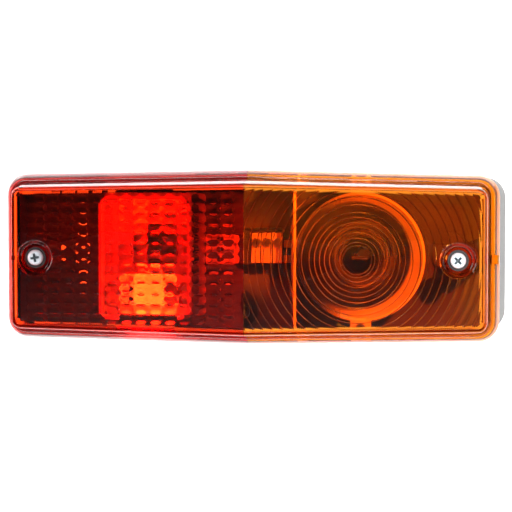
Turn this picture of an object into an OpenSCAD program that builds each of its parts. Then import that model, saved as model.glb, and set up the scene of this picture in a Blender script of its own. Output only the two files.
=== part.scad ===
// Trailer tail light: a two-colour rear combination lamp for surface mounting.
// It is laid out face up: x runs along the lamp, y is the lamp's up, and z is the
// distance in front of the mounting face. upright() then stands every piece up, so
// that the lens faces -Y and the mounting face lies in the plane y = 0.
// The origin is midway between the two mounting holes, in line with the lens seam.

/* [Lens] */
// Length of the red half, from the seam to its end
red_len = 116.5; // [115:0.5:120]
// Length of the amber half, from the seam to its end
amber_len = 119; // [117:0.5:122]
// Height of the lens at the seam
seam_h = 83; // [82:0.5:86]
// Height of the lens at its two ends
end_h = 78; // [77:0.5:81]
// Radius of the lens's outer corners
corner_r = 10; // [9.5:0.5:12]
// Depth of the lens at the seam
lens_d_seam = 21; // [21:0.5:23]
// Depth of the lens at its two ends
lens_d_end = 17.5; // [17.5:0.5:19]
// Height of the rounded band round the lens's rim
band_h = 6; // [5:0.5:6.5]
// Height of the ledge between the band and the raised face
ledge_h = 8.5; // [8:0.5:9.5]
// Wall thickness of the lens
lens_wall = 2.6; // [2.2:0.1:2.8]

/* [Housing] */
// Depth of the housing behind the lens gasket
housing_d = 38; // [38:0.5:42]
// Wall thickness of the housing
housing_wall = 3; // [2.5:0.1:3]
// How much longer the housing's back is than its rim, at each end
flare = 2; // [1:0.1:3]
// Distance between the two mounting holes
mount_pitch = 174; // [172:0.5:176]
// Diameter of the mounting holes
mount_d = 6.5; // [5.5:0.1:7]
// Diameter of the cable inlet's bore
cable_d = 6.4; // [4:0.1:7]

/* [Lens screws] */
// Distance between the two lens screws
screw_pitch = 200; // [198:0.5:202]
// Diameter of a lens screw's shank
shank_d = 4; // [3.5:0.1:4]
// Diameter of a lens screw's head
head_d = 7.4; // [7:0.1:8]

/* [Bulbs] */
// Place of the stop and tail bulb, along the lamp and up
stop_at = [-45, 5];
// Distance from the seam to the turn bulb's axis
turn_x = 53; // [52.5:0.1:53.5]
// Diameter of the bulbs' bayonet caps
cap_d = 15; // [15:0.1:15.1]
// Diameter of the bulbs' round glass
globe_d = 25; // [23:0.5:25]
// How far a bulb can be pushed against its contacts
push_travel = 1.5; // [1:0.1:1.5]
// Turn that frees a bulb's pins
bayonet_turn = 20; // [15:1:20]

/* [Hidden] */
$fn = 48;
turn_at = [turn_x, 0];
corner_steps = 10;
screw_x = screw_pitch / 2;
gasket_t = 1.5;
lens_z = housing_d + gasket_t;
ledge_in = [2.4, 3];
face_in = [5.8, 7.2];
rim_in = 1.2;
back_draft = 0.8;
well_floor = lens_z + 13.7;
well_d = 12.8;
well_rim_d = 17.4;
column_d = 10.4;
seal_t = 1;
head_z = well_floor + seal_t;
head_t = 2.4;
shank_low = 4.5;
fit = 0.08;
nut_flats = 7;
nut_z = [4.8, 8];
window_x = [33, 61];
window_z = [lens_z + 10, lens_z + 16];
plate_z = [14, 15];
chamber_x = [-70, -27];
chamber_half = 29.2;
chamber_top = 52;
sheet_t = 1;
dish_r = 27;
dish_flat_r = 12;
dish_top = 34;
lug_y = 31.5;
stop_screws = [[-62, 23], [-33.5, 23], [-48.5, -25]];
turn_screws = [[turn_x, -lug_y], [turn_x, lug_y]];
small_screw_r = 1.2;
wall_x = [23.3, 24.5];
block_x = [-24, 20];
block_y = [-5, 9.5];
block_z = 14;
pole_groups = [-16, 12];
pole_pitch = 4.8;
clamp_h = 3;
strip_t = 0.8;
strip_w = 3;
strip_z = 6;
socket_z = [3.5, 24];
socket_r = [cap_d / 2 + 0.1, cap_d / 2 + 0.9];
socket_flange_r = 11.5;
spring_z = [4.5, 8.5];
disc_t = 2;
cap_low = spring_z[1] + disc_t;
cap_top = 27.5;
neck_r = 6.9;
glass_t = 0.8;
globe_z = 41;
pin_r = 1;
stop_pin_z = [17, 20];
turn_pin_z = [17, 17];
festoon_at = [-48.5, -17.5, 43];
festoon_half = 17.8;
festoon_r = 5;
tray_z = [34, 35.5];
tray_x = [-67.5, -29.5];
tray_y = [-27, -8.5];
inlet_at = [0, -24];
inlet_r = 6;

// Angle by which the lens's long edges close in towards an end
function edge_angle(len) = atan((seam_h - end_h) / 2 / len);
// Height of the front face above the mounting face
function roof(len, x) = lens_z + lens_d_seam - (lens_d_seam - lens_d_end) * x / len;

module upright() {
  rotate([90, 0, 0])
    children();
}

function flip_x(points) = [for (p = points) [-p[0], p[1]]];
function flip_y(points) = [for (p = points) [p[0], -p[1]]];
function backwards(points) = [for (i = [len(points) - 1 : -1 : 0]) points[i]];

// Points of a half's rounded upper corner, from the long edge to the end, drawn in by inset
function corner_arc(len, inset, r) = let (
    lean = edge_angle(len),
    x = len - inset[0] - r,
    y = seam_h / 2 - inset[1] - x * tan(lean) - r / cos(lean)
  )
    [
      for (i = [0 : corner_steps])
        let (a = (90 - lean) * (1 - i / corner_steps))
          [x + r * cos(a), y + r * sin(a)]
    ];

// One half of the lamp's outline, from start to its rounded end, drawn in by inset
module half_outline(len, inset = [0, 0], r = corner_r, start = 0) {
  edge_y = seam_h / 2 - inset[1] - start * tan(edge_angle(len));
  upper = concat([[start, edge_y]], corner_arc(len, inset, r));
  polygon(concat(upper, backwards(flip_y(upper))));
}

// The whole outline: the amber half on the right and the red half on the left
module outline(inset = [0, 0], r = corner_r) {
  left = flip_x(backwards(corner_arc(red_len, inset, r)));
  upper = concat(left, [[0, seam_h / 2 - inset[1]]], corner_arc(amber_len, inset, r));
  polygon(concat(upper, backwards(flip_y(upper))));
}

module ring_outline(outer, inner) {
  difference() {
    outline([outer, outer], corner_r - outer);
    outline([inner, inner], corner_r - inner);
  }
}

module on_left(is_left) {
  mirror([is_left ? 1 : 0, 0, 0])
    children();
}

module box_between(a, b) {
  translate(a)
    cube(b - a);
}

module rounded_plate(x, y, r, h) {
  linear_extrude(h) {
    translate([x[0] + r, y[0]])
      square([x[1] - x[0] - 2 * r, y[1] - y[0]]);
    translate([x[0], y[0] + r])
      square([x[1] - x[0], y[1] - y[0] - 2 * r]);
    for (cx = [x[0] + r, x[1] - r], cy = [y[0] + r, y[1] - r])
      translate([cx, cy])
        circle(r);
  }
}

module tube(r_out, r_in, h) {
  difference() {
    cylinder(r = r_out, h = h);
    translate([0, 0, -1])
      cylinder(r = r_in, h = h + 2);
  }
}

// Everything above the lens's sloping front face, lowered by drop
module above_roof(len, drop = 0) {
  big = 2 * len;
  translate([0, 0, roof(len, 0) - drop])
    rotate([0, atan((lens_d_seam - lens_d_end) / len), 0])
      translate([-big / 2, -big / 2, 0])
        cube([2 * big, big, 2 * lens_d_seam]);
}

// Stepped outside of one lens half: band, ledge and raised face
module lens_outside(len) {
  difference() {
    translate([0, 0, lens_z]) {
      linear_extrude(band_h)
        half_outline(len);
      linear_extrude(ledge_h)
        half_outline(len, ledge_in, corner_r - 3);
      linear_extrude(lens_d_seam)
        half_outline(len, face_in, corner_r - 6);
    }
    above_roof(len);
  }
}

module lens_hollow(len) {
  wall = [lens_wall, lens_wall];
  difference() {
    translate([0, 0, lens_z - 1]) {
      linear_extrude(ledge_h - lens_wall + 1)
        half_outline(len, ledge_in + wall, corner_r - 5.6, -1);
      linear_extrude(lens_d_seam)
        half_outline(len, face_in + wall, corner_r - 7.5, -1);
    }
    above_roof(len, lens_wall);
  }
}

// Hollow column and dished seat that take a lens screw
module screw_column() {
  seat_wall = 2.2;
  translate([screw_x, 0, lens_z])
    cylinder(d = column_d, h = well_floor - lens_z);
  translate([screw_x, 0, well_floor - lens_wall])
    cylinder(d = well_d + 2 * seat_wall, h = lens_wall + 2);
}

// Screw well, its drain channel to the end, and the shank's hole
module screw_well(len) {
  rim_depth = 1.2;
  channel_w = 2;
  channel_depth = 1.8;
  top = roof(len, screw_x);
  translate([screw_x, 0, well_floor])
    cylinder(d = well_d, h = 2 * lens_d_seam);
  translate([screw_x, 0, top - rim_depth])
    cylinder(d = well_rim_d, h = 2 * lens_d_seam);
  translate([screw_x, 0, lens_z - 1])
    cylinder(r = shank_d / 2 + fit, h = lens_d_seam);
  translate([screw_x, -channel_w / 2, top - channel_depth])
    cube([len, channel_w, lens_d_seam]);
}

// Notch in the middle of the band's end, where water leaves the channel
module end_notch(len) {
  notch_w = 4.4;
  notch_in = 4;
  notch_low = 2;
  translate([len - notch_in, -notch_w / 2, lens_z + notch_low])
    cube([2 * notch_in, notch_w, band_h]);
}

module lens_half(len) {
  difference() {
    union() {
      difference() {
        lens_outside(len);
        lens_hollow(len);
      }
      screw_column();
    }
    screw_well(len);
    end_notch(len);
  }
}

module window_block() {
  box_between([window_x[0], -seam_h / 2, window_z[0]], [window_x[1], -chamber_half, window_z[1]]);
}

module red_lens() {
  color("firebrick")
    upright()
      mirror([1, 0, 0])
        difference() {
          lens_half(red_len);
          window_block();
        }
}

module amber_lens() {
  color("darkorange")
    upright()
      lens_half(amber_len);
}

// Clear window in the red half's underside, for the number plate
module plate_window() {
  color("white")
    upright()
      mirror([1, 0, 0])
        intersection() {
          lens_half(red_len);
          window_block();
        }
}

module lens_gasket() {
  inner = rim_in + 2.4;
  color("black")
    upright()
      translate([0, 0, housing_d])
        linear_extrude(gasket_t)
          ring_outline(1, inner);
}

// Solid block of the housing's outside: chamfered back, flared ends
module housing_outside() {
  chamfer = 1.5;
  slab = 0.5;
  back_in = rim_in + back_draft;
  hull()
    for (is_left = [false, true])
      on_left(is_left) {
        len = is_left ? red_len : amber_len;
        linear_extrude(slab)
          half_outline(len, [chamfer - flare, back_in + chamfer], corner_r - chamfer);
        translate([0, 0, chamfer])
          linear_extrude(slab)
            half_outline(len, [-flare, back_in], corner_r);
        translate([0, 0, housing_d - slab])
          linear_extrude(slab)
            half_outline(len, [rim_in, rim_in], corner_r - rim_in);
      }
}

// Bosses, pads and posts that stand on the housing's floor
module housing_posts() {
  boss_r = 6;
  boss_h = housing_d - 0.5;
  pad_h = 6;
  pad_r = 8;
  post_r = 3.5;
  inlet_pad = [11, 5];
  for (side = [-1, 1]) {
    translate([side * screw_x, 0, 0])
      cylinder(r = boss_r, h = boss_h);
    translate([side * mount_pitch / 2, 0, 0])
      cylinder(r = pad_r, h = pad_h);
  }
  translate([inlet_at[0], inlet_at[1], 0])
    cylinder(r = inlet_pad[0], h = inlet_pad[1]);
  for (at = stop_screws)
    translate([at[0], at[1], 0])
      cylinder(r = post_r, h = plate_z[0]);
  for (at = turn_screws)
    translate([at[0], at[1], 0])
      cylinder(r = post_r, h = dish_top - sheet_t);
}

// Every hole and pocket in the housing
module housing_holes() {
  pocket_r = (nut_flats + 0.2) / 2 / cos(30);
  counterbore = [9, 2];
  slot = [6, 20, 2];
  slot_low = 4;
  tap_depth = 8;
  for (side = [-1, 1]) {
    translate([side * screw_x, 0, -1])
      cylinder(r = shank_d / 2 + fit, h = housing_d + 2);
    translate([side * screw_x, 0, -1])
      cylinder(r = pocket_r, h = nut_z[1] + 1, $fn = 6);
    translate([side * mount_pitch / 2, 0, -1])
      cylinder(d = mount_d, h = housing_d);
    translate([side * mount_pitch / 2 - slot[0] / 2, -seam_h / 2 - 1, slot_low])
      cube(slot);
  }
  translate([inlet_at[0], inlet_at[1], -1]) {
    cylinder(r = inlet_r, h = housing_d);
    cylinder(r = counterbore[0], h = counterbore[1] + 1);
  }
  for (at = stop_screws)
    translate([at[0], at[1], plate_z[0] - tap_depth])
      cylinder(r = small_screw_r + 0.05, h = housing_d);
  for (at = turn_screws)
    translate([at[0], at[1], dish_top - sheet_t - tap_depth])
      cylinder(r = small_screw_r + 0.05, h = housing_d);
}

// Shallow pockets that lighten the mounting face
module back_pockets() {
  depth = 1.2;
  pocket_x = [14, 72];
  pocket_half = 31;
  pocket_r = 4;
  for (is_left = [false, true])
    on_left(is_left)
      translate([0, 0, -1])
        rounded_plate(pocket_x, [-pocket_half, pocket_half], pocket_r, depth + 1);
}

module housing() {
  inner = rim_in + housing_wall;
  color("slategray")
    upright()
      difference() {
        union() {
          difference() {
            housing_outside();
            translate([0, 0, housing_wall])
              linear_extrude(housing_d)
                outline([inner, inner], corner_r - inner);
          }
          housing_posts();
        }
        housing_holes();
        back_pockets();
      }
}

// Pan-head screw with a cross recess; its head's underside is at z = 0
module pan_screw(head_r, head_h, shank_r, shank_len) {
  recess_w = head_r * 0.26;
  recess_l = head_r * 1.25;
  difference() {
    union() {
      cylinder(r = head_r, h = head_h / 2);
      translate([0, 0, head_h / 2])
        cylinder(r1 = head_r, r2 = head_r * 0.72, h = head_h / 2);
      translate([0, 0, -shank_len])
        cylinder(r = shank_r, h = shank_len + head_h / 4);
    }
    for (turn = [0, 90])
      rotate([0, 0, turn])
        translate([-recess_l / 2, -recess_w / 2, head_h * 0.4])
          cube([recess_l, recess_w, head_h]);
  }
}

module lens_screw(side) {
  color("silver")
    upright()
      translate([side * screw_x, 0, head_z])
        pan_screw(head_d / 2, head_t, shank_d / 2, head_z - shank_low);
}

module screw_seals() {
  seal_r = 4.9;
  color("dimgray")
    upright()
      for (side = [-1, 1])
        translate([side * screw_x, 0, well_floor])
          tube(seal_r, shank_d / 2 + 0.2, seal_t);
}

module boss_nuts() {
  color("gold")
    upright()
      for (side = [-1, 1])
        translate([side * screw_x, 0, nut_z[0]])
          difference() {
            cylinder(r = nut_flats / 2 / cos(30), h = nut_z[1] - nut_z[0], $fn = 6);
            translate([0, 0, -1])
              cylinder(r = shank_d / 2 + fit / 2, h = nut_z[1]);
          }
}

// Box-shaped reflector round the stop and tail bulb, open towards the number-plate window
module stop_reflector() {
  inside = [chamber_x[0] + sheet_t, chamber_x[1] - sheet_t];
  half = chamber_half - sheet_t;
  bend_r = 4;
  color("gainsboro")
    upright()
      difference() {
        translate([0, 0, plate_z[0]])
          rounded_plate(chamber_x, [-chamber_half, chamber_half], bend_r, chamber_top - plate_z[0]);
        translate([0, 0, plate_z[1]])
          rounded_plate(inside, [-half, half], bend_r - sheet_t, chamber_top);
        translate([stop_at[0], stop_at[1], 0])
          cylinder(r = socket_r[1] + 0.1, h = chamber_top);
        for (at = stop_screws)
          translate([at[0], at[1], 0])
            cylinder(r = small_screw_r + 0.2, h = chamber_top);
        box_between([-window_x[1], -chamber_half - 1, tray_z[1]], [-window_x[0], -half + 1, chamber_top + 1]);
      }
}

// Height of the dish's inside at radius r
function dish_z(r) = plate_z[1]
  + (dish_top - plate_z[1]) * (r * r - dish_flat_r * dish_flat_r) / (dish_r * dish_r - dish_flat_r * dish_flat_r);

module turn_reflector() {
  steps = 10;
  lug_w = 9;
  lug_end = 35;
  lip = 1;
  radii = [for (i = [0 : steps]) dish_flat_r + (dish_r - dish_flat_r) * i / steps];
  inside = [for (r = radii) [r, dish_z(r)]];
  outside = [for (i = [steps : -1 : 0]) [radii[i] + sheet_t * 0.6, dish_z(radii[i]) - sheet_t]];
  hole_r = socket_r[1] + 0.1;
  color("whitesmoke")
    upright()
      translate([turn_at[0], turn_at[1], 0])
        difference() {
          union() {
            rotate_extrude()
              polygon(concat([[hole_r, plate_z[1]]], inside, outside, [[hole_r, plate_z[0]]]));
            translate([0, 0, dish_top - sheet_t])
              tube(dish_r + lip, dish_r - 0.2, sheet_t);
            for (side = [-1, 1])
              translate([-lug_w / 2, side > 0 ? dish_r : -lug_end, dish_top - sheet_t])
                cube([lug_w, lug_end - dish_r, sheet_t]);
          }
          for (side = [-1, 1])
            translate([0, side * lug_y, 0])
              cylinder(r = small_screw_r + 0.2, h = dish_top + 1);
        }
}

module reflector_screws() {
  head = [2.7, 1.8];
  length = 7.5;
  color("silver")
    upright() {
      for (at = stop_screws)
        translate([at[0], at[1], plate_z[1]])
          pan_screw(head[0], head[1], small_screw_r, length);
      for (at = turn_screws)
        translate([at[0], at[1], dish_top])
          pan_screw(head[0], head[1], small_screw_r, length);
    }
}

// Upright wall that keeps the turn light out of the middle bay
module partition() {
  low_half = 36.5;
  high_half = 30.4;
  top = 55;
  strip_gap = [8, 12];
  color("lightgray")
    upright()
      difference() {
        union() {
          box_between([wall_x[0], -low_half, housing_wall], [wall_x[1], low_half, housing_d - 1]);
          box_between([wall_x[0], -high_half, housing_wall], [wall_x[1], high_half, top]);
        }
        box_between([wall_x[0] - 1, -strip_gap[0], 0], [wall_x[1] + 1, strip_gap[0], strip_gap[1]]);
      }
}

module terminal_block() {
  color("darkslategray")
    upright()
      translate([0, 0, housing_wall])
        rounded_plate(block_x, block_y, 1.5, block_z - housing_wall);
}

// Places each pole's clamp or screw, three to a group, along the terminal block
module at_poles() {
  for (group = pole_groups, i = [-1 : 1])
    translate([group + i * pole_pitch, 0, block_z])
      children();
}

module terminal_clamps() {
  clamp_w = 4.2;
  middle = (block_y[0] + block_y[1]) / 2;
  length = block_y[1] - block_y[0] - 2;
  wire_gap = 1.4;
  color("gold")
    upright()
      at_poles()
        difference() {
          translate([-clamp_w / 2, middle - length / 2, 0])
            cube([clamp_w, length, clamp_h]);
          translate([-clamp_w / 2 + 1, middle - length, 0.8])
            cube([clamp_w - 2, length, wire_gap]);
        }
}

module terminal_screws() {
  head = [1.9, 1.6];
  slot_w = 0.7;
  middle = (block_y[0] + block_y[1]) / 2;
  color("silver")
    upright()
      at_poles()
        translate([0, middle + 2.5, clamp_h])
          difference() {
            cylinder(r = head[0], h = head[1]);
            translate([-head[0], -slot_w / 2, head[1] / 2])
              cube([2 * head[0], slot_w, head[1]]);
          }
}

// Flat brass links from the terminal block to the bulb sockets
module contact_strips() {
  spread = 3;
  reach = sqrt(socket_r[1] * socket_r[1] - spread * spread) + 0.3;
  color("gold")
    upright()
      for (side = [-1, 1]) {
        box_between(
          [stop_at[0] + reach, stop_at[1] + side * spread - strip_w / 2, strip_z],
          [block_x[0], stop_at[1] + side * spread + strip_w / 2, strip_z + strip_t]
        );
        box_between(
          [block_x[1], turn_at[1] + side * spread - strip_w / 2, strip_z],
          [turn_at[0] - reach, turn_at[1] + side * spread + strip_w / 2, strip_z + strip_t]
        );
      }
}

module cable_grommet() {
  back_flange = [8.6, 0.2];
  front_flange = [8, 7];
  floor_z = [2, 5];
  sleeve = [4.8, 12];
  bore = cable_d / 2;
  body_r = inlet_r - 0.05;
  color("black")
    upright()
      translate([inlet_at[0], inlet_at[1], 0])
        rotate_extrude()
          polygon([
            [bore, back_flange[1]], [back_flange[0], back_flange[1]], [back_flange[0], floor_z[0]],
            [body_r, floor_z[0]], [body_r, floor_z[1]], [front_flange[0], floor_z[1]],
            [front_flange[0], front_flange[1]], [sleeve[0], front_flange[1] + 1],
            [sleeve[0] - 0.6, sleeve[1]], [bore, sleeve[1]]
          ]);
}

// Bayonet slot for one pin: a sideways window and the way in from the mouth
module bayonet_slot(pin_z) {
  half_gap = 9;
  entry_gap = 8.5;
  slack = pin_r + 0.2;
  low = pin_z - push_travel - slack;
  rotate([0, 0, -half_gap])
    rotate_extrude(angle = bayonet_turn + 2 * half_gap)
      translate([socket_r[0] - 1, low])
        square([3, pin_z + slack - low]);
  rotate([0, 0, bayonet_turn - entry_gap])
    rotate_extrude(angle = 2 * entry_gap)
      translate([socket_r[0] - 1, pin_z])
        square([3, socket_z[1] - pin_z + 1]);
}

module socket(at, pins) {
  floor_top = spring_z[0];
  wire_hole_r = 2.5;
  color("lightsteelblue")
    upright()
      translate([at[0], at[1], 0])
        difference() {
          rotate_extrude()
            polygon([
              [wire_hole_r, socket_z[0]], [socket_r[1], socket_z[0]], [socket_r[1], plate_z[1]],
              [socket_flange_r, plate_z[1]], [socket_flange_r, plate_z[1] + sheet_t],
              [socket_r[1], plate_z[1] + sheet_t], [socket_r[1], socket_z[1]],
              [socket_r[0], socket_z[1]], [socket_r[0], floor_top], [wire_hole_r, floor_top]
            ]);
          bayonet_slot(pins[0]);
          rotate([0, 0, 180])
            bayonet_slot(pins[1]);
        }
}

// Coil spring between a socket's floor and its contact disc
module coil_spring(at) {
  coil_r = 6;
  wire_r = 0.45;
  turns = 3;
  per_turn = 20;
  sides = 6;
  count = turns * per_turn;
  low = spring_z[0] + wire_r;
  rise = spring_z[1] - spring_z[0] - 2 * wire_r;
  function ring_point(i, k) = let (
      turn = 360 * i / per_turn,
      r = coil_r + wire_r * cos(360 * k / sides)
    ) [r * cos(turn), r * sin(turn), low + rise * i / count + wire_r * sin(360 * k / sides)];
  points = [for (i = [0 : count], k = [0 : sides - 1]) ring_point(i, k)];
  walls = [
    for (i = [0 : count - 1], k = [0 : sides - 1])
      let (next = (k + 1) % sides)
        [i * sides + k, (i + 1) * sides + k, (i + 1) * sides + next, i * sides + next]
  ];
  first = [for (k = [0 : sides - 1]) k];
  last = [for (k = [sides - 1 : -1 : 0]) count * sides + k];
  color("silver")
    upright()
      translate([at[0], at[1], 0])
        polyhedron(points, concat([first, last], walls));
}

module contact_disc(at, studs) {
  disc_r = 7.3;
  stud_r = 1.6;
  color("saddlebrown")
    upright()
      translate([at[0], at[1], spring_z[1]])
        difference() {
          cylinder(r = disc_r, h = disc_t);
          for (x = studs)
            translate([x, 0, -1])
              cylinder(r = stud_r, h = disc_t + 2);
        }
}

module contact_studs(at, studs) {
  stud_r = 1.55;
  color("gold")
    upright()
      for (x = studs)
        translate([at[0] + x, at[1], spring_z[1]])
          cylinder(r = stud_r, h = disc_t);
}

// Brass bayonet cap with its two side pins
module bulb_cap(at, pins) {
  pin_reach = socket_r[1] - 0.05;
  foot_r = 6;
  foot_h = 1.2;
  cup_z = 25;
  color("goldenrod")
    upright()
      translate([at[0], at[1], 0]) {
        difference() {
          union() {
            translate([0, 0, cap_low])
              cylinder(r1 = foot_r, r2 = cap_d / 2, h = foot_h);
            translate([0, 0, cap_low + foot_h])
              cylinder(d = cap_d, h = cap_top - cap_low - foot_h);
          }
          translate([0, 0, cup_z])
            cylinder(r = neck_r + 0.02, h = cap_top);
        }
        for (i = [0, 1])
          translate([0, 0, pins[i]])
            rotate([0, i == 0 ? 90 : -90, 0])
              cylinder(r = pin_r, h = pin_reach);
      }
}

// Round bulb glass on its neck, hollow
module bulb_glass(at) {
  cup_z = 25;
  stem_z = cap_top;
  globe_r = globe_d / 2;
  neck_top = globe_z - globe_r * 0.8;
  color("azure")
    upright()
      translate([at[0], at[1], 0])
        difference() {
          union() {
            translate([0, 0, globe_z])
              sphere(globe_r);
            translate([0, 0, cup_z])
              cylinder(r = neck_r, h = neck_top - cup_z + 1);
          }
          translate([0, 0, globe_z])
            sphere(globe_r - glass_t);
          translate([0, 0, stem_z])
            cylinder(r = neck_r - glass_t, h = neck_top - stem_z + 2);
        }
}

// Glass stem with two support wires and a filament at each height
module filaments(at, heights) {
  stem = [2.4, 3];
  wire_r = 0.35;
  coil_r = 0.6;
  spread = 3;
  top = max(heights);
  color("gray")
    upright()
      translate([at[0], at[1], cap_top]) {
        cylinder(r1 = stem[0], r2 = stem[0] - 0.8, h = stem[1]);
        translate([-spread, 0, stem[1] - 1])
          rotate([0, 90, 0])
            cylinder(r = wire_r, h = 2 * spread);
        for (side = [-1, 1])
          translate([side * spread, 0, stem[1] - 1])
            cylinder(r = wire_r, h = top - cap_top - stem[1] + 1);
        for (z = heights)
          translate([-spread, 0, z - cap_top])
            rotate([0, 90, 0])
              cylinder(r = coil_r, h = 2 * spread);
      }
}

// White holder that stands on the reflector and carries the number-plate bulb
module plate_bulb_tray() {
  leg = [4, 6];
  leg_in = 1.5;
  color("ivory")
    upright() {
      translate([0, 0, tray_z[0]])
        rounded_plate(tray_x, tray_y, 2, tray_z[1] - tray_z[0]);
      for (x = [tray_x[0] + leg_in, tray_x[1] - leg_in - leg[0]])
        translate([x, festoon_at[1] - leg[1] / 2, plate_z[1]])
          cube([leg[0], leg[1], tray_z[0] - plate_z[1]]);
    }
}

// Spring-brass clips that grip the number-plate bulb's ends
module plate_bulb_clips() {
  strip = 0.5;
  foot = 4;
  clip_w = 6;
  clip_h = 10.5;
  low_y = festoon_at[1] - clip_w / 2;
  color("gold")
    upright()
      translate([festoon_at[0], 0, 0])
        for (is_left = [false, true])
          on_left(is_left) {
            translate([festoon_half, low_y, tray_z[1]])
              cube([strip, clip_w, clip_h]);
            translate([festoon_half - foot, low_y, tray_z[1]])
              cube([foot, clip_w, strip]);
          }
}

module along_festoon() {
  upright()
    translate(festoon_at)
      rotate([0, 90, 0])
        children();
}

module plate_bulb_caps() {
  cap = [3.6, 5.5];
  tip = [1.6, 1.5];
  color("silver")
    along_festoon()
      for (up = [false, true])
        mirror([0, 0, up ? 1 : 0]) {
          translate([0, 0, festoon_half - tip[1] - cap[1]])
            cylinder(r = cap[0], h = cap[1]);
          translate([0, 0, festoon_half - tip[1]])
            cylinder(r1 = cap[0], r2 = tip[0], h = tip[1]);
        }
}

module plate_bulb_glass() {
  half = festoon_half - 7;
  shoulder = 2.5;
  neck = 3.4;
  wall = 0.7;
  color("azure")
    along_festoon()
      rotate_extrude()
        polygon([
          [0, -half], [neck, -half], [festoon_r, -half + shoulder], [festoon_r, half - shoulder],
          [neck, half], [0, half], [0, half - wall], [neck - wall, half - wall],
          [festoon_r - wall, half - shoulder - 0.3], [festoon_r - wall, -half + shoulder + 0.3],
          [neck - wall, -half + wall], [0, -half + wall]
        ]);
}

module left_lens_screw() {
  lens_screw(-1);
}

module right_lens_screw() {
  lens_screw(1);
}

module stop_socket() {
  socket(stop_at, stop_pin_z);
}

module turn_socket() {
  socket(turn_at, turn_pin_z);
}

housing();
lens_gasket();
red_lens();
amber_lens();
plate_window();
left_lens_screw();
right_lens_screw();
screw_seals();
boss_nuts();
stop_reflector();
turn_reflector();
reflector_screws();
partition();
terminal_block();
terminal_clamps();
terminal_screws();
contact_strips();
cable_grommet();
stop_socket();
coil_spring(stop_at);  // stop_spring
contact_disc(stop_at, [-3.5, 3.5]);  // stop_contact
contact_studs(stop_at, [-3.5, 3.5]);  // stop_contact_studs
bulb_cap(stop_at, stop_pin_z);  // stop_bulb_cap
bulb_glass(stop_at);  // stop_bulb_glass
filaments(stop_at, [38, 42]);  // stop_filaments
turn_socket();
coil_spring(turn_at);  // turn_spring
contact_disc(turn_at, [0]);  // turn_contact
contact_studs(turn_at, [0]);  // turn_contact_stud
bulb_cap(turn_at, turn_pin_z);  // turn_bulb_cap
bulb_glass(turn_at);  // turn_bulb_glass
filaments(turn_at, [42]);  // turn_filament
plate_bulb_tray();
plate_bulb_clips();
plate_bulb_caps();
plate_bulb_glass();
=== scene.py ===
import math

import bmesh
import bpy
from mathutils import Matrix, Vector


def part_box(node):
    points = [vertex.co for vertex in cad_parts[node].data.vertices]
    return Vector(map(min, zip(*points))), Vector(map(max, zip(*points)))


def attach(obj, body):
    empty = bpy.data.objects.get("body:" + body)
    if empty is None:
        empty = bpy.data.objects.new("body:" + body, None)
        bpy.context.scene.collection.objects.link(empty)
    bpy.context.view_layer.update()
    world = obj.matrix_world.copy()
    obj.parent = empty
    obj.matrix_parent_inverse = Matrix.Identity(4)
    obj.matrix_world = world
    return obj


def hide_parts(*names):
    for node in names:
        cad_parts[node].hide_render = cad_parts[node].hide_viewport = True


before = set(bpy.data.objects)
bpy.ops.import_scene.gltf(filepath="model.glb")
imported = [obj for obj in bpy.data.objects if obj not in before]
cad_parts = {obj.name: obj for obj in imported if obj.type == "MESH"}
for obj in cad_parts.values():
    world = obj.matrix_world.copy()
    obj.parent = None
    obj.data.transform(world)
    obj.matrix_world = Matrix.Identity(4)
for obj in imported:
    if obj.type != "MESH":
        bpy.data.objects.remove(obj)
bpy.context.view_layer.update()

MM = 0.001


# ---------------------------------------------------------------- camera
def make_camera(azimuth, elevation, distance, focal, target):
    """A long-lens camera that looks at target from azimuth degrees to its right and elevation degrees up."""
    a, e = math.radians(azimuth), math.radians(elevation)
    back = Vector((math.sin(a) * math.cos(e), -math.cos(a) * math.cos(e), math.sin(e)))
    data = bpy.data.cameras.new("camera")
    data.lens = focal
    data.sensor_width = 36.0
    data.clip_start, data.clip_end = 0.05, 20.0
    camera = bpy.data.objects.new("camera", data)
    bpy.context.collection.objects.link(camera)
    camera.location = Vector(target) + back * distance
    camera.rotation_mode = "QUATERNION"
    camera.rotation_quaternion = (-back).to_track_quat("-Z", "Y")
    bpy.context.scene.camera = camera


make_camera(azimuth=6.5, elevation=3.67, distance=1.2, focal=179.0, target=(0.0048, -0.05, 0.0012))


# ---------------------------------------------------------------- places taken from the frame
def along(node, axis):
    """Lowest and highest value of a CAD node along one axis, in metres."""
    low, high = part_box(node)
    return low[axis], high[axis]


def middle(node, axis):
    low, high = along(node, axis)
    return (low + high) / 2


RED, AMBER = -1, 1
END_X = {RED: -along("red_lens", 0)[0], AMBER: along("amber_lens", 0)[1]}
SEAM_HALF = along("red_lens", 2)[1]
LENS_BACK = -along("red_lens", 1)[1]
LENS_FRONT = -along("red_lens", 1)[0]
SCREW_X = middle("right_lens_screw", 0)
SEAT = -along("right_lens_screw", 1)[0] - 3.4 * MM  # the well's floor, a head and a seal below the head's top
TURN_X = middle("turn_bulb_glass", 0)
END_DROP = 2.5 * MM  # the outline is this much lower at its ends than at the seam, top and bottom
FACE_DROP = 3.5 * MM  # the face is this much deeper at its ends
CORNER = 10 * MM


def spot(x, up, depth):
    """A point from its place along the lamp, its height and its depth in front of the mounting face."""
    return Vector((x, -depth, up))


def roof(side, x):
    """Depth of the lens's front face at x."""
    return LENS_FRONT - FACE_DROP * abs(x) / END_X[side]


# ---------------------------------------------------------------- mesh helpers
def new_object(name, bm):
    mesh = bpy.data.meshes.new(name)
    bm.to_mesh(mesh)
    bm.free()
    obj = bpy.data.objects.new(name, mesh)
    bpy.context.collection.objects.link(obj)
    return obj


def close_normals(bm):
    bmesh.ops.remove_doubles(bm, verts=bm.verts, dist=1e-7)
    bmesh.ops.recalc_face_normals(bm, faces=bm.faces)


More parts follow.
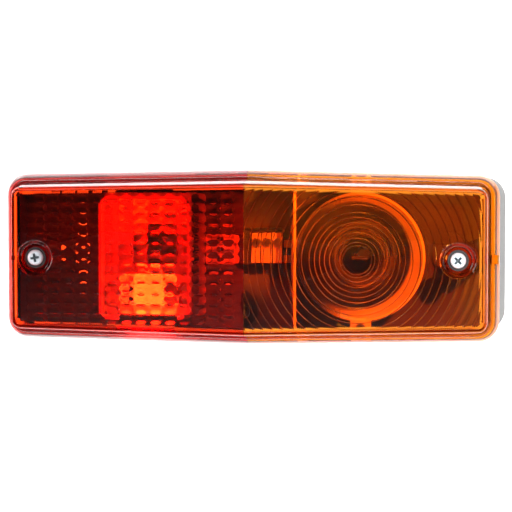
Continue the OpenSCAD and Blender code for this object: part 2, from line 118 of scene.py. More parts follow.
def boolean(obj, other, operation, own_overlaps=False):
    """Applies an exact boolean of other to obj and deletes other.

    own_overlaps is for an other that crosses itself."""
    modifier = obj.modifiers.new("cut", "BOOLEAN")
    modifier.operation = operation
    modifier.solver = "EXACT"
    modifier.use_self = own_overlaps
    modifier.object = other
    dg = bpy.context.evaluated_depsgraph_get()
    mesh = bpy.data.meshes.new_from_object(obj.evaluated_get(dg))
    obj.modifiers.clear()
    old = obj.data
    obj.data = mesh
    mesh.name = obj.name
    bpy.data.meshes.remove(old)
    gone = other.data
    bpy.data.objects.remove(other)
    bpy.data.meshes.remove(gone)


def smooth(obj, angle=30):
    obj.data.polygons.foreach_set("use_smooth", [True] * len(obj.data.polygons))
    obj.data.set_sharp_from_angle(angle=math.radians(angle))


def revolve(name, profile, centre, steps=64):
    """A closed solid from (radius, depth) points, turned round an axis through centre along the depth."""
    bm = bmesh.new()
    rings = []
    for radius, depth in profile:
        if radius < 1e-7:
            rings.append([bm.verts.new(spot(centre[0], centre[1], depth))])
            continue
        ring = []
        for i in range(steps):
            a = 2 * math.pi * i / steps
            x, up = centre[0] + radius * math.cos(a), centre[1] + radius * math.sin(a)
            ring.append(bm.verts.new(spot(x, up, depth)))
        rings.append(ring)
    for a, b in zip(rings, rings[1:]):
        for i in range(steps):
            j = (i + 1) % steps
            if len(a) == 1:
                bm.faces.new((a[0], b[i], b[j]))
            elif len(b) == 1:
                bm.faces.new((a[i], a[j], b[0]))
            else:
                bm.faces.new((a[i], a[j], b[j], b[i]))
    close_normals(bm)
    return new_object(name, bm)


# ---------------------------------------------------------------- lens outline and shell
FACE_WALL = 2.3 * MM
FACE_RECESS = 0.5 * MM  # the face lies this much behind the lip round it
SEAM_GAP = 0.06 * MM  # half of the gap between the two lens halves
TOOTH_STEP = 0.5 * MM  # from a tooth's tip to its root, along a knurled edge
SMALLEST_CORNER = 1.5 * MM
ARC_STEPS = 8


def edge_steps(length, tooth, plain):
    """How many steps an edge gets: plain ones, or an even number of tooth steps when it is knurled."""
    return plain if tooth is None else 2 * round(length / TOOTH_STEP / 2)


def half_loop(side, inset, tooth=None):
    """Points (x, up) of one lens half drawn in by inset, from the seam's top round the end to its bottom.

    With a tooth depth, every second point of the three straight edges steps inwards by it."""
    depth = tooth or 0.0
    length = END_X[side] - inset[0]
    half = SEAM_HALF - inset[1]
    radius = max(CORNER - sum(inset) / 2, SMALLEST_CORNER)
    lean = math.atan(END_DROP / END_X[side])
    cx = length - radius
    cy = half - cx * math.tan(lean) - radius / math.cos(lean)
    edge_end = cx + radius * math.sin(lean)
    points = []
    count = edge_steps(END_X[side], tooth, 8)
    for i in range(count):
        x = SEAM_GAP + (edge_end - SEAM_GAP) * i / count
        points.append((x, half - x * math.tan(lean) - depth * (i % 2)))
    for i in range(ARC_STEPS + 1):
        a = (math.pi / 2 - lean) * (1 - i / ARC_STEPS)
        points.append((cx + radius * math.cos(a), cy + radius * math.sin(a)))
    count = edge_steps(SEAM_HALF, tooth, 4)
    for i in range(1, count + 1):
        points.append((length - depth * (i % 2), cy * (1 - i / count)))
    mirrored = [(x, -up) for x, up in reversed(points[:-1])]
    return [(side * x, up) for x, up in points + mirrored]


def shell(name, side, levels):
    """A closed block lofted through levels (inset, depth as a function of x, tooth), flat at the seam."""
    bm = bmesh.new()
    rows = [[bm.verts.new(spot(x, up, depth(x))) for x, up in half_loop(side, inset, tooth)]
            for inset, depth, tooth in levels]
    for a, b in zip(rows, rows[1:]):
        for i in range(len(a) - 1):
            bm.faces.new((a[i], a[i + 1], b[i + 1], b[i]))
    bm.faces.new(rows[0])
    bm.faces.new(rows[-1])
    bm.faces.new([row[0] for row in rows] + [row[-1] for row in reversed(rows)])
    close_normals(bm)
    return new_object(name, bm)


def above_back(depth):
    """A level at a constant depth, in millimetres from the lens's back."""
    return lambda x: LENS_BACK + depth * MM


def below_roof(side, drop):
    """A level that follows the sloping face, drop millimetres behind it."""
    return lambda x: roof(side, x) - drop * MM


def outer_levels(side):
    """The outside, back to face, in millimetres: (inset at the ends, inset up and down, depth)."""
    band = [(0.4, 0.4, 0.0), (0.0, 0.0, 0.5), (0.25, 0.25, 1.6), (1.6, 1.6, 5.2), (1.8, 1.8, 5.65),
            (2.05, 2.05, 5.9), (2.3, 2.25, 5.85), (2.45, 2.36, 5.5)]
    groove = [(2.6, 2.44, 4.3), (3.45, 2.72, 4.3)]
    ledges = [(3.65, 2.84, 6.2), (3.75, 2.92, 7.6), (3.95, 3.2, 8.1), (4.2, 3.5, 8.2), (4.4, 3.75, 8.15),
              (4.5, 3.88, 7.85), (4.65, 4.0, 7.85), (4.75, 4.12, 8.3), (4.95, 4.35, 8.5), (5.05, 4.55, 9.0)]
    lip = [(5.25, 5.55, 1.5), (5.3, 5.7, 0.8), (5.45, 5.95, 0.25), (5.75, 6.35, 0.0), (6.15, 6.95, 0.0),
           (6.4, 7.3, 0.15), (6.55, 7.5, FACE_RECESS / MM)]
    levels = [((x * MM, y * MM), above_back(depth), None) for x, y, depth in band + groove + ledges]
    return levels + [((x * MM, y * MM), below_roof(side, drop), None) for x, y, drop in lip]


def hollow_levels(side):
    """The inside, mouth to face: plain walls and a knurled chamfer that ends past the face."""
    tooth = 0.7 * MM
    plain = [(5.0, 5.6, -1.0), (5.0, 5.6, 6.0), (6.5, 7.0, 7.2)]
    knurled = [(6.6, 7.1, 4.8), (8.5, 8.7, 2.9), (8.6, 8.8, -4.0)]
    levels = [((x * MM, y * MM), above_back(depth), 0.0) for x, y, depth in plain]
    return levels + [((x * MM, y * MM), below_roof(side, drop), tooth) for x, y, drop in knurled]


# ---------------------------------------------------------------- optics under the face
def ceiling(side, x):
    """Depth of the face's inner side at x, before the optics."""
    return roof(side, x) - FACE_RECESS - FACE_WALL


def close_stamp(bm, rim):
    """Closes a surface whose border is rim into a solid that reaches down behind the lens's back."""
    low = [bm.verts.new((v.co.x, -(LENS_BACK - 5 * MM), v.co.z)) for v in rim]
    for i in range(len(rim)):
        j = (i + 1) % len(rim)
        bm.faces.new((rim[i], rim[j], low[j], low[i]))
    bm.faces.new(low)
    close_normals(bm)


PRISM_X = (-101 * MM, -4 * MM)
PRISM_HALF = 31 * MM
PRISM_COLUMNS, PRISM_ROWS = 14, 13


def steps_between(low, high, count):
    return [low + (high - low) * i / count for i in range(count + 1)]


def prism_stamp():
    """The red half's inner face: rows of cushion-shaped prisms."""
    across, down = 8, 6
    bulge = 0.9 * MM
    xs = [-1.1 * END_X[RED]] + steps_between(*PRISM_X, PRISM_COLUMNS * across) + [2 * MM]
    ups = [-1.1 * SEAM_HALF] + steps_between(-PRISM_HALF, PRISM_HALF, PRISM_ROWS * down) + [1.1 * SEAM_HALF]

    def lift(i, j):
        if not (1 <= i < len(ups) - 1 and 1 <= j < len(xs) - 1):
            return 0.0
        u = ((j - 1) % across) / across * 2 - 1
        v = ((i - 1) % down) / down * 2 - 1
        return bulge * (1 - u * u) * (1 - v * v) ** 0.8

    bm = bmesh.new()
    grid = [[bm.verts.new(spot(x, up, ceiling(RED, x) - lift(i, j))) for j, x in enumerate(xs)]
            for i, up in enumerate(ups)]
    for a, b in zip(grid, grid[1:]):
        for j in range(len(a) - 1):
            bm.faces.new((a[j], a[j + 1], b[j + 1], b[j]))
    rim = grid[0] + [row[-1] for row in grid[1:]] + grid[-1][-2::-1] + [row[0] for row in grid[-2:0:-1]]
    close_stamp(bm, rim)
    return new_object("prism_stamp", bm)


def ring_profile():
    """(radius, lift) of the amber optic: a shallow dome, then stepped rings with rounded crests.

    The rings get steeper with their radius, and from the eighth on they are evenly spaced."""
    last, spacing = 78, 3.6
    radii = [6.6, 8.1, 10.2, 12.8, 15.2, 17.5, 19.9, 22.3]
    while radii[-1] < last:
        radii.append(radii[-1] + spacing)
    dome_height, dome_steps = 0.7, 5
    profile = []
    for i in range(dome_steps + 1):
        profile.append((radii[0] * i / dome_steps, dome_height * (1 - (i / dome_steps) ** 2)))
    crest = 0.14
    for inner, outer in zip(radii, radii[1:]):
        height = (outer - inner) * math.tan(math.radians(9 + 12 * inner / last)) + 0.1
        profile.append((inner + 0.05, height - crest))
        for i in range(5):
            t = math.pi * i / 5
            profile.append((inner + 0.07 + crest * (1 - math.cos(t)), height - crest + crest * math.sin(t)))
        profile.append((inner + 0.1 + 2 * crest, height - crest))
        profile.append(((inner + outer) / 2, height * 0.45))
        profile.append((outer - 0.1, 0.02))
    return [(r * MM, lift * MM) for r, lift in profile]


def ring_stamp():
    """The amber half's inner face: rings round the turn bulb's axis, under the sloping roof."""
    steps = 128
    profile = ring_profile()
    bm = bmesh.new()
    rings = []
    for radius, lift in profile[1:]:
        ring = []
        for i in range(steps):
            a = 2 * math.pi * i / steps
            x, up = TURN_X + radius * math.cos(a), radius * math.sin(a)
            ring.append(bm.verts.new(spot(x, up, ceiling(AMBER, x) - lift)))
        rings.append(ring)
    top = bm.verts.new(spot(TURN_X, 0, ceiling(AMBER, TURN_X) - profile[0][1]))
    for i in range(steps):
        bm.faces.new((top, rings[0][i], rings[0][(i + 1) % steps]))
    for a, b in zip(rings, rings[1:]):
        for i in range(steps):
            j = (i + 1) % steps
            bm.faces.new((a[i], a[j], b[j], b[i]))
    close_stamp(bm, rings[-1])
    return new_object("ring_stamp", bm)


def block(name, low, high):
    bm = bmesh.new()
    bmesh.ops.create_cube(bm, size=1.0)
    size = Vector(high) - Vector(low)
    centre = (Vector(high) + Vector(low)) / 2
    for v in bm.verts:
        v.co = Vector((v.co.x * size.x, v.co.y * size.y, v.co.z * size.z)) + centre
    bmesh.ops.recalc_face_normals(bm, faces=bm.faces)
    return new_object(name, bm)


def screw_well(lens, x, top):
    """Adds the column under a lens screw's head, then cuts its stepped well and the hole for its shank."""
    hole, column_low, column_high = 2.08 * MM, 5.2 * MM, 8.4 * MM
    column = [(0, LENS_BACK), (column_low, LENS_BACK), (5.4 * MM, SEAT - 3 * MM),
              (column_high, SEAT - 1.6 * MM), (column_high, top - 1.5 * MM), (0, top - 1.5 * MM)]
    boolean(lens, revolve("column", column, (x, 0)), "UNION")
    behind, before = LENS_BACK - 1 * MM, top + 4 * MM
    well = [(0, behind), (hole, behind), (hole, SEAT), (6.0 * MM, SEAT), (6.3 * MM, SEAT + 0.3 * MM),
            (6.6 * MM, top - 1.7 * MM), (7.1 * MM, top - 1.3 * MM), (8.1 * MM, top - 1.25 * MM),
            (8.6 * MM, top - 0.9 * MM), (8.75 * MM, before), (0, before)]
    boolean(lens, revolve("well", well, (x, 0)), "DIFFERENCE")


def end_notch(lens, side):
    """Cuts the small notch in the middle of an end's rim."""
    reach, half = 4 * MM, 2.1 * MM
    low = (side * (END_X[side] - reach), -(LENS_BACK + 9 * MM), -half)
    high = (side * (END_X[side] + reach), -(LENS_BACK + 2 * MM), half)
    boolean(lens, block("notch", low, high), "DIFFERENCE")


def drain_slot(lens, side, top):
    """Cuts the slot that drains a screw's well over the lens's end."""
    half = 0.9 * MM
    low = (side * (SCREW_X + 4 * MM), -(top + 2 * MM), -half)
    high = (side * (SCREW_X + 11.5 * MM), -(top - 2.2 * MM), half)
    boolean(lens, block("slot", low, high), "DIFFERENCE")


def lens_half(name, side, stamp):
    """One half of the lens: a hollow shell with stamp's optics, a screw well, a drain slot and, on the amber
    half, a notch.
    """
    lens = shell(name, side, outer_levels(side))
    hollow = shell("hollow", side, hollow_levels(side))
    seam_wall = 0.5 * MM
    hollow.data.transform(Matrix.Translation((-side * seam_wall, 0, 0)))
    boolean(hollow, stamp, "INTERSECT")
    boolean(lens, hollow, "DIFFERENCE")
    x = side * SCREW_X
    screw_well(lens, x, roof(side, x))
    if side == AMBER:
        end_notch(lens, side)
    drain_slot(lens, side, roof(side, x))
    return lens


def copy_of(obj, name):
    twin = obj.copy()
    twin.data = obj.data.copy()
    twin.name = name
    bpy.context.collection.objects.link(twin)
    return twin


def split_window(lens):
    """Cuts the clear number-plate window out of the red half's underside and returns it."""
    low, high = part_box("plate_window")
    bottom, top = -SEAM_HALF - 1 * MM, high[2]
    window = copy_of(lens, "clear_window")
    boolean(window, block("inner_cut", (low[0], low[1], bottom), (high[0], high[1], top)), "INTERSECT")
    gap = 0.05 * MM
    outer_low = (low[0] - gap, low[1] - gap, bottom - gap)
    outer_high = (high[0] + gap, high[1] + gap, top + gap)
    boolean(lens, block("outer_cut", outer_low, outer_high), "DIFFERENCE")
    return window


# ---------------------------------------------------------------- cable grommet
def grommet_lips():
    """The thin membrane with a cross slit that shuts the grommet's bore until a cable is pushed through."""
    bore, slit_half = 3.6 * MM, 0.05 * MM
    centre = (middle("cable_grommet", 0), middle("cable_grommet", 2))
    low = -along("cable_grommet", 1)[1] + 5 * MM
    profile = [(0, low), (bore, low - 0.3 * MM), (bore, low + 1.3 * MM), (bore * 0.8, low + 1.0 * MM),
               (0, low + 0.7 * MM)]
    lips = revolve("grommet_lips", profile, centre, steps=48)
    for turn in (45, 135):
        reach = bore * 0.7
        slit = block("slit", (-reach, -(low + 3 * MM), -slit_half), (reach, -(low - 3 * MM), slit_half))
        slit.data.transform(Matrix.Rotation(math.radians(turn), 4, "Y"))
        slit.data.transform(Matrix.Translation((centre[0], 0, centre[1])))
        boolean(lips, slit, "DIFFERENCE")
    return lips


# ---------------------------------------------------------------- lens screws
def screw_blank(name, x, low, seat, top):
    """Pan-head screw along the depth at x: a helical thread from low to seat, then a domed head to top."""
    steps, pitch = 24, 0.7 * MM
    core, crest, head = 1.62 * MM, 1.96 * MM, 3.7 * MM
    rows = []
    for i in range(round((seat - low) / pitch * 4) + 1):
        depth = low + i * pitch / 4
        fade = min(1.0, (depth - low) / (1.5 * pitch), max(0.0, (seat - depth) / pitch))
        row = []
        for j in range(steps):
            wave = abs(((depth / pitch + j / steps) % 1.0) * 2 - 1)
            row.append((core + (crest - core) * wave * fade, depth))
        rows.append(row)
    dome = [(1.0, 0.0), (1.0, 0.3), (0.985, 0.45), (0.94, 0.62), (0.86, 0.78), (0.72, 0.9), (0.5, 0.97),
            (0.25, 0.995)]
    rows += [[(head * r, seat + (top - seat) * h)] * steps for r, h in dome]
    bm = bmesh.new()
    rings = []
    for row in rows:
        ring = []
        for j, (radius, depth) in enumerate(row):
            a = 2 * math.pi * j / steps
            ring.append(bm.verts.new(spot(x + radius * math.cos(a), radius * math.sin(a), depth)))
        rings.append(ring)
    for a, b in zip(rings, rings[1:]):
        for j in range(steps):
            k = (j + 1) % steps
            bm.faces.new((a[j], a[k], b[k], b[j]))
    bm.faces.new(rings[0])
    bm.faces.new(rings[-1])
    bmesh.ops.recalc_face_normals(bm, faces=bm.faces)
    return new_object(name, bm)


def recess_arms(x, top, turn):
    """The cross recess's cutter: two crossing arms that taper towards the bottom."""
    bottom = (top - 1.7 * MM, 0.75 * MM, 0.32 * MM)  # depth, reach and half width of an arm
    mouth = (top + 0.4 * MM, 2.5 * MM, 0.62 * MM)
    bm = bmesh.new()
    for arm in (0, 90):
        a = math.radians(turn + arm)
        outwards = Vector((math.cos(a), 0, math.sin(a)))
        across = Vector((-math.sin(a), 0, math.cos(a)))
        corners = []
        for depth, reach, half in (bottom, mouth):
            for u, v in ((-1, -1), (1, -1), (1, 1), (-1, 1)):
                corners.append(bm.verts.new(spot(x, 0, depth) + outwards * u * reach + across * v * half))
        bm.faces.new(corners[:4])
        bm.faces.new(corners[4:])
        for j in range(4):
            k = (j + 1) % 4
            bm.faces.new((corners[j], corners[k], corners[4 + k], corners[4 + j]))
    bmesh.ops.recalc_face_normals(bm, faces=bm.faces)
    return new_object("recess_arms", bm)


def paint_recess_shade(screw, node):
    """Gives the faces inside the cross recess the second material, a dark zinc: painted shade in the recess.
    """
    x, top = middle(node, 0), -along(node, 1)[0]
    reach, deepest, shallowest = 2.55 * MM, 2 * MM, 0.42 * MM
    for face in screw.data.polygons:
        centre = face.center
        near_axis = math.hypot(centre.x - x, centre.z) < reach
        face.material_index = int(near_axis and top - deepest < -centre.y < top - shallowest)


def lens_screw(name, node, turn):
    x = middle(node, 0)
    low, top = -along(node, 1)[1], -along(node, 1)[0]
    head = 2.4 * MM
    screw = screw_blank(name, x, low, top - head, top)
    cutter = recess_arms(x, top, turn)
    boolean(screw, cutter, "DIFFERENCE", own_overlaps=True)
    return screw


# ---------------------------------------------------------------- materials
def tree(name):
    material = bpy.data.materials.new(name)
    material.use_nodes = True
    nt = material.node_tree
    nt.nodes.clear()
    out = nt.nodes.new("ShaderNodeOutputMaterial")
    return material, nt, out


def link(nt, a, b):
    nt.links.new(a, b)


def noise_node(nt, scale, detail=3.0, rough=0.5, stretch=(1, 1, 1)):
    where = nt.nodes.new("ShaderNodeTexCoord")
    mapping = nt.nodes.new("ShaderNodeMapping")
    mapping.inputs["Scale"].default_value = stretch
    texture = nt.nodes.new("ShaderNodeTexNoise")
    texture.inputs["Scale"].default_value = scale
    texture.inputs["Detail"].default_value = detail
    texture.inputs["Roughness"].default_value = rough
    link(nt, where.outputs["Object"], mapping.inputs["Vector"])
    link(nt, mapping.outputs["Vector"], texture.inputs["Vector"])
    return texture.outputs["Fac"]


def ramp(nt, value, stops):
    node = nt.nodes.new("ShaderNodeValToRGB")
    elements = node.color_ramp.elements
    while len(elements) < len(stops):
        elements.new(0.5)
    for element, (place, colour) in zip(elements, stops):
        element.position = place
        element.color = (*colour, 1.0)
    link(nt, value, node.inputs["Fac"])
    return node.outputs["Color"]


def to_range(nt, value, low, high):
    node = nt.nodes.new("ShaderNodeMapRange")
    node.inputs["To Min"].default_value = low
    node.inputs["To Max"].default_value = high
    link(nt, value, node.inputs["Value"])
    return node.outputs["Result"]


def bump(nt, height, strength, distance):
    node = nt.nodes.new("ShaderNodeBump")
    node.inputs["Strength"].default_value = strength
    node.inputs["Distance"].default_value = distance
    link(nt, height, node.inputs["Height"])
    return node.outputs["Normal"]


def surface(name, dark, light, rough, metallic=0.0, grain=600, patch=25, grain_depth=0.00005, strength=0.3,
            stretch=(1, 1, 1), coat=0.0):
    """A Principled material whose colour, roughness and relief come from fine grain and broad patches."""
    material, nt, out = tree(name)
    shader = nt.nodes.new("ShaderNodeBsdfPrincipled")
    shader.inputs["Metallic"].default_value = metallic
    shader.inputs["Coat Weight"].default_value = coat
    fine = noise_node(nt, grain, 4.0, 0.6, stretch)
    broad = noise_node(nt, patch, 3.0, 0.55)
    mix = nt.nodes.new("ShaderNodeMath")
    mix.operation = "MULTIPLY_ADD"
    mix.inputs[1].default_value = 0.45
    link(nt, fine, mix.inputs[0])
    scaled = to_range(nt, broad, 0.0, 0.55)
    link(nt, scaled, mix.inputs[2])
    link(nt, ramp(nt, mix.outputs[0], ((0.25, dark), (0.75, light))), shader.inputs["Base Color"])
    link(nt, to_range(nt, broad, rough[0], rough[1]), shader.inputs["Roughness"])
    link(nt, bump(nt, fine, strength, grain_depth), shader.inputs["Normal"])
    link(nt, shader.outputs[0], out.inputs["Surface"])
    return material


def dish_with_painted_crescent(name):
    """Bright aluminium: polished in the bowl, matt and paler towards the mouth, with painted light: the pale
    band is a lit crescent on the lamp's outer side and fades to painted shadow on the partition's side.
    """
    material, nt, out = tree(name)
    shader = nt.nodes.new("ShaderNodeBsdfPrincipled")
    where = nt.nodes.new("ShaderNodeTexCoord")
    # The band's centre is shifted 3 mm towards the partition and the band fades out on the partition's side,
    # so it is wide and pale only on the outer side: painted light there and painted shadow from the
    # partition.
    painted_crescent_x = TURN_X - 3 * MM
    centre = nt.nodes.new("ShaderNodeVectorMath")
    centre.operation = "SUBTRACT"
    centre.inputs[1].default_value = (painted_crescent_x, 0, 0)
    flat = nt.nodes.new("ShaderNodeVectorMath")
    flat.operation = "MULTIPLY"
    flat.inputs[1].default_value = (1, 0, 1)
    radius = nt.nodes.new("ShaderNodeVectorMath")
    radius.operation = "LENGTH"
    link(nt, where.outputs["Object"], centre.inputs[0])
    link(nt, centre.outputs[0], flat.inputs[0])
    link(nt, flat.outputs[0], radius.inputs[0])
    band = nt.nodes.new("ShaderNodeMapRange")
    band.inputs["From Min"].default_value = 21.5 * MM
    band.inputs["From Max"].default_value = 23.5 * MM
    link(nt, radius.outputs["Value"], band.inputs["Value"])
    parts = nt.nodes.new("ShaderNodeSeparateXYZ")
    link(nt, centre.outputs[0], parts.inputs[0])
    painted_lit_side = nt.nodes.new("ShaderNodeMapRange")
    painted_lit_side.inputs["From Min"].default_value = -14 * MM
    painted_lit_side.inputs["From Max"].default_value = 4 * MM
    link(nt, parts.outputs["X"], painted_lit_side.inputs["Value"])
    painted_lit_crescent = nt.nodes.new("ShaderNodeMath")
    painted_lit_crescent.operation = "MULTIPLY"
    link(nt, band.outputs["Result"], painted_lit_crescent.inputs[0])
    link(nt, painted_lit_side.outputs["Result"], painted_lit_crescent.inputs[1])
    broad = noise_node(nt, 50, 3.0, 0.55)
    tone = nt.nodes.new("ShaderNodeMix")
    tone.data_type = "RGBA"
    link(nt, painted_lit_crescent.outputs[0], tone.inputs["Factor"])
    link(nt, ramp(nt, broad, ((0.3, (0.60, 0.61, 0.62)), (0.7, (0.74, 0.75, 0.76)))), tone.inputs["A"])
    link(nt, ramp(nt, broad, ((0.3, (0.84, 0.85, 0.86)), (0.7, (0.93, 0.94, 0.95)))), tone.inputs["B"])
    link(nt, tone.outputs["Result"], shader.inputs["Base Color"])
    link(nt, to_range(nt, painted_lit_crescent.outputs[0], 0.09, 0.5), shader.inputs["Roughness"])
    link(nt, to_range(nt, painted_lit_crescent.outputs[0], 1.0, 0.15), shader.inputs["Metallic"])
    link(nt, bump(nt, noise_node(nt, 400, 4.0, 0.6), 0.05, 0.00005), shader.inputs["Normal"])
    link(nt, shader.outputs[0], out.inputs["Surface"])
    return material


def near_back(nt):
    """1 on a lens's rim, up to 8 mm in front of its back, and 0 from 10 mm on."""
    where = nt.nodes.new("ShaderNodeTexCoord")
    parts = nt.nodes.new("ShaderNodeSeparateXYZ")
    link(nt, where.outputs["Object"], parts.inputs[0])
    node = nt.nodes.new("ShaderNodeMapRange")
    node.inputs["From Min"].default_value = -(LENS_BACK + 10 * MM)
    node.inputs["From Max"].default_value = -(LENS_BACK + 8 * MM)
    link(nt, parts.outputs["Y"], node.inputs["Value"])
    return node.outputs["Result"]


def clear(name, tint, shade, thin=None, ior=1.49, wave=0.15):
    """Clear or tinted plastic or glass with plain reflections.

    It tints light once a wall, on the way in, and lamps shine straight through. The shader takes the root of
    its colour at a surface, so the colours go in squared. thin is the paler tint of a lens's thin rim."""
    material, nt, out = tree(name)
    glass = nt.nodes.new("ShaderNodeBsdfPrincipled")
    glass.inputs["IOR"].default_value = ior
    glass.inputs["Roughness"].default_value = 0.0
    glass.inputs["Transmission Weight"].default_value = 1.0
    through = nt.nodes.new("ShaderNodeBsdfTransparent")
    path = nt.nodes.new("ShaderNodeLightPath")
    either = nt.nodes.new("ShaderNodeMath")
    either.operation = "MAXIMUM"
    link(nt, path.outputs["Is Shadow Ray"], either.inputs[0])
    link(nt, path.outputs["Is Diffuse Ray"], either.inputs[1])
    mix = nt.nodes.new("ShaderNodeMixShader")
    link(nt, either.outputs[0], mix.inputs["Fac"])
    link(nt, glass.outputs[0], mix.inputs[1])
    link(nt, through.outputs[0], mix.inputs[2])
    flow = noise_node(nt, 18, 2.0, 0.5, (1, 1, 2.5))
    side = nt.nodes.new("ShaderNodeNewGeometry")
    for power, shader, socket in ((2, glass, "Base Color"), (1, through, "Color")):
        tinted = nt.nodes.new("ShaderNodeMix")
        tinted.data_type = "RGBA"
        tinted.inputs["B"].default_value = (1, 1, 1, 1)
        link(nt, side.outputs["Backfacing"], tinted.inputs["Factor"])
        stops = ((0.3, [c ** power for c in shade]), (0.7, [c ** power for c in tint]))
        colour = ramp(nt, flow, stops)
        if thin is not None:
            rim = nt.nodes.new("ShaderNodeMix")
            rim.data_type = "RGBA"
            rim.inputs["B"].default_value = (*[c ** power for c in thin], 1)
            link(nt, near_back(nt), rim.inputs["Factor"])
            link(nt, colour, rim.inputs["A"])
            colour = rim.outputs["Result"]
        link(nt, colour, tinted.inputs["A"])
        link(nt, tinted.outputs["Result"], shader.inputs[socket])
    ripple = noise_node(nt, 60, 1.0, 0.4)
    link(nt, bump(nt, ripple, wave, 0.0002), glass.inputs["Normal"])
    link(nt, mix.outputs[0], out.inputs["Surface"])
    return material


def paint(names, material):
    for name in names:
        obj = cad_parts[name]
        obj.data.materials.clear()
        obj.data.materials.append(material)


red_plastic = clear("red_plastic", (0.93, 0.042, 0.003), (0.84, 0.033, 0.002), (0.9, 0.12, 0.11))
amber_plastic = clear("amber_plastic", (0.95, 0.27, 0.02), (0.88, 0.22, 0.012), (0.95, 0.44, 0.035))
clear_plastic = clear("clear_plastic", (0.97, 0.98, 0.98), (0.94, 0.95, 0.96))
bulb_glass = clear("bulb_glass", (0.98, 0.99, 0.99), (0.96, 0.97, 0.97), ior=1.2, wave=0.05)
housing_grey = surface("housing_grey", (0.058, 0.055, 0.052), (0.115, 0.109, 0.103), (0.45, 0.65),
                       grain=900, patch=60, grain_depth=0.00008, strength=0.5)
zinc = surface("zinc", (0.55, 0.57, 0.60), (0.86, 0.87, 0.88), (0.22, 0.38),
               metallic=1.0, grain=700, patch=90)
bright_zinc = surface("bright_zinc", (0.46, 0.50, 0.54), (0.66, 0.70, 0.74), (0.28, 0.42),
                      metallic=0.45, grain=900, patch=120)
# Dark zinc for the screws' cross recesses: painted shade.
painted_shade_zinc = surface("painted_shade_zinc", (0.07, 0.09, 0.10), (0.20, 0.24, 0.26), (0.4, 0.6),
                      metallic=0.6, grain=900, patch=200)
nickel = surface("nickel", (0.80, 0.79, 0.74), (0.95, 0.94, 0.90), (0.25, 0.4), metallic=0.2, patch=90)
brass = surface("brass", (0.60, 0.42, 0.16), (0.85, 0.66, 0.32), (0.25, 0.42),
                metallic=1.0, grain=500, patch=70)
enamel = surface("enamel", (0.78, 0.78, 0.76), (0.92, 0.92, 0.90), (0.18, 0.3), grain=300, patch=40, coat=0.5)
aluminium = dish_with_painted_crescent("aluminium")
white_plastic = surface("white_plastic", (0.80, 0.79, 0.74), (0.92, 0.91, 0.87), (0.3, 0.45))
black_plastic = surface("black_plastic", (0.012, 0.012, 0.014), (0.04, 0.04, 0.043), (0.3, 0.5))
phenolic = surface("phenolic", (0.16, 0.07, 0.03), (0.34, 0.18, 0.09), (0.4, 0.6),
                   grain=300, stretch=(1, 8, 1))
rubber = surface("rubber", (0.012, 0.012, 0.012), (0.035, 0.035, 0.035), (0.6, 0.85), grain=800)
foam = surface("foam", (0.26, 0.26, 0.25), (0.44, 0.44, 0.43), (0.75, 0.95), grain=1200, strength=0.7)
tungsten = surface("tungsten", (0.25, 0.25, 0.26), (0.45, 0.45, 0.46), (0.3, 0.45), metallic=1.0)

paint(["housing"], housing_grey)
paint(["lens_gasket"], foam)
paint(["screw_seals", "cable_grommet"], rubber)
paint(["reflector_screws", "terminal_screws", "stop_socket", "turn_socket",
       "stop_spring", "turn_spring", "plate_bulb_caps"], zinc)
paint(["terminal_clamps"], nickel)
paint(["boss_nuts", "contact_strips", "stop_contact_studs", "turn_contact_stud",
       "stop_bulb_cap", "turn_bulb_cap", "plate_bulb_clips"], brass)
paint(["stop_reflector"], enamel)
paint(["turn_reflector"], aluminium)
paint(["partition", "plate_bulb_tray"], white_plastic)
paint(["terminal_block"], black_plastic)
paint(["stop_contact", "turn_contact"], phenolic)
paint(["stop_bulb_glass", "turn_bulb_glass", "plate_bulb_glass"], bulb_glass)
paint(["stop_filaments", "turn_filament"], tungsten)


# ---------------------------------------------------------------- the Blender pieces, placed on their bodies
red = lens_half("red_half", RED, prism_stamp())
window = split_window(red)
amber = lens_half("amber_half", AMBER, ring_stamp())
for piece, material, node, slot in ((red, red_plastic, "red_lens", "red_plastic"),
                                    (window, clear_plastic, "plate_window", "clear_plastic"),
                                    (amber, amber_plastic, "amber_lens", "amber_plastic")):
    smooth(piece, 28)
    piece.data.materials.clear()
    piece.data.materials.append(material)
    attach(piece, "lens")
    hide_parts(node)

lips = grommet_lips()
lips.data.materials.append(rubber)
smooth(lips, 30)
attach(lips, "base")

for name, node, body, turn in (("left_screw_detail", "left_lens_screw", "left_screw", 100),
                               ("right_screw_detail", "right_lens_screw", "right_screw", 45)):
    screw = lens_screw(name, node, turn)
    smooth(screw, 35)
    screw.data.materials.clear()
    screw.data.materials.append(bright_zinc)
    screw.data.materials.append(painted_shade_zinc)
    paint_recess_shade(screw, node)
    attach(screw, body)
    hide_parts(node)


# ---------------------------------------------------------------- studio
def backdrop():
    """One pale sheet: a floor that curves up behind the lamp."""
    bm = bmesh.new()
    floor_z, back_y, bend, half = -0.16, 1.2, 0.6, 3.0
    line = [(-3.0, floor_z), (back_y, floor_z)]
    for i in range(1, 16):
        t = math.radians(6 * i)
        line.append((back_y + bend * math.sin(t), floor_z + bend * (1 - math.cos(t))))
    line.append((back_y + bend, 3.0))
    left = [bm.verts.new((-half, y, z)) for y, z in line]
    right = [bm.verts.new((half, y, z)) for y, z in line]
    for i in range(len(line) - 1):
        bm.faces.new((left[i], right[i], right[i + 1], left[i + 1]))
    sheet = new_object("backdrop", bm)
    smooth(sheet, 60)
    sheet.data.materials.append(surface("paper", (0.90, 0.90, 0.90), (0.94, 0.94, 0.94), (0.7, 0.9), grain=40,
                                        patch=3, strength=0.02))


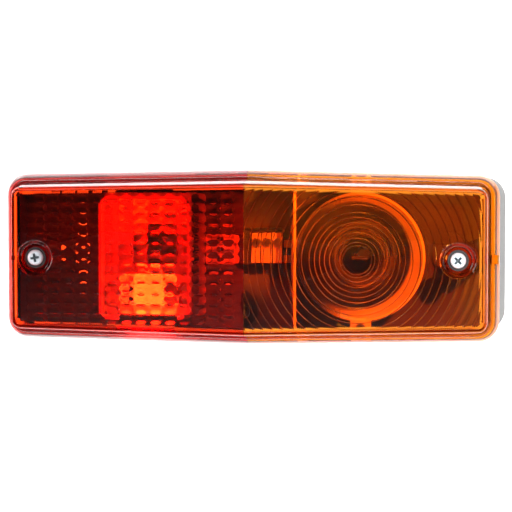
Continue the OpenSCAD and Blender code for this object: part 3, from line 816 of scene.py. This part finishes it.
def place_light(data, place, target, mirrored):
    lamp = bpy.data.objects.new(data.name, data)
    bpy.context.collection.objects.link(lamp)
    lamp.location = place
    lamp.visible_glossy = lamp.visible_transmission = mirrored
    lamp.rotation_mode = "QUATERNION"
    lamp.rotation_quaternion = (Vector(target) - Vector(place)).to_track_quat("-Z", "Y")


def area_light(name, place, target, size, power, spread=180, mirrored=True):
    """A soft box at place that faces target. One that isn't mirrored only lights what it falls on."""
    data = bpy.data.lights.new(name, "AREA")
    data.shape = "RECTANGLE"
    data.size, data.size_y = size
    data.energy = power
    data.spread = math.radians(spread)
    place_light(data, place, target, mirrored)


def spot_light(name, place, target, cone, power):
    """A small spot at place that faces target. It only lights what it falls on."""
    data = bpy.data.lights.new(name, "SPOT")
    data.energy = power
    data.spot_size = math.radians(cone)
    data.spot_blend = 0.3
    data.shadow_soft_size = 6 * MM
    place_light(data, place, target, False)


def window_light(name, lean):
    """A spot that shines up through the number-plate window, at lean degrees, onto the holder behind it."""
    above, forward, distance = 6 * MM, 4 * MM, 0.15
    target = spot(middle("plate_window", 0), -SEAM_HALF + above, -middle("plate_window", 1) + forward)
    a = math.radians(lean)
    away = Vector((0, -math.cos(a), -math.sin(a))) * distance
    spot_light(name, target + away, target, cone=8, power=330)


backdrop()
area_light("overhead", (0.0, 0.35, 0.75), (0, 0.1, 0), size=(2.0, 1.3), power=10)
area_light("left_wall", (-1.1, -0.25, 0.25), (0, -0.04, 0), size=(1.0, 0.8), power=9)
area_light("right_wall", (1.1, 0.1, 0.25), (0, -0.04, 0), size=(1.0, 0.8), power=4)
area_light("front_left", (-0.6, -1.2, 0.6), (0, -0.03, 0), size=(0.3, 0.3), power=0.95, spread=50,
           mirrored=False)
area_light("front_right", (0.7, -1.1, 0.5), (0, -0.03, 0), size=(0.3, 0.3), power=1.0, spread=50,
           mirrored=False)
area_light("glint", (0.1, -1.3, 0.95), (0, -0.04, 0), size=(0.5, 0.06), power=0.8)
area_light("backdrop_wash", (0.0, 0.5, 1.6), (0, 1.6, 0.4), size=(2.5, 1.0), power=60, spread=120)
for lean in (32, 37, 42, 47, 52):
    window_light("window_light_%d" % lean, lean)
spot_light("amber_fill", (0.6, -1.2, 0.35), (0.085, -0.03, 0.0), cone=8, power=175)
clamps = spot(middle("terminal_clamps", 0), middle("terminal_clamps", 2), -middle("terminal_clamps", 1))
spot_light("clamp_fill", (0.25, -1.3, 0.5), clamps + Vector((0.01, 0, 0)), cone=1.3, power=300)

world = bpy.data.worlds.new("studio")
bpy.context.scene.world = world
world.use_nodes = True
world.node_tree.nodes["Background"].inputs["Color"].default_value = (1, 1, 1, 1)
world.node_tree.nodes["Background"].inputs["Strength"].default_value = 0.04
bpy.context.scene.view_settings.view_transform = "Standard"
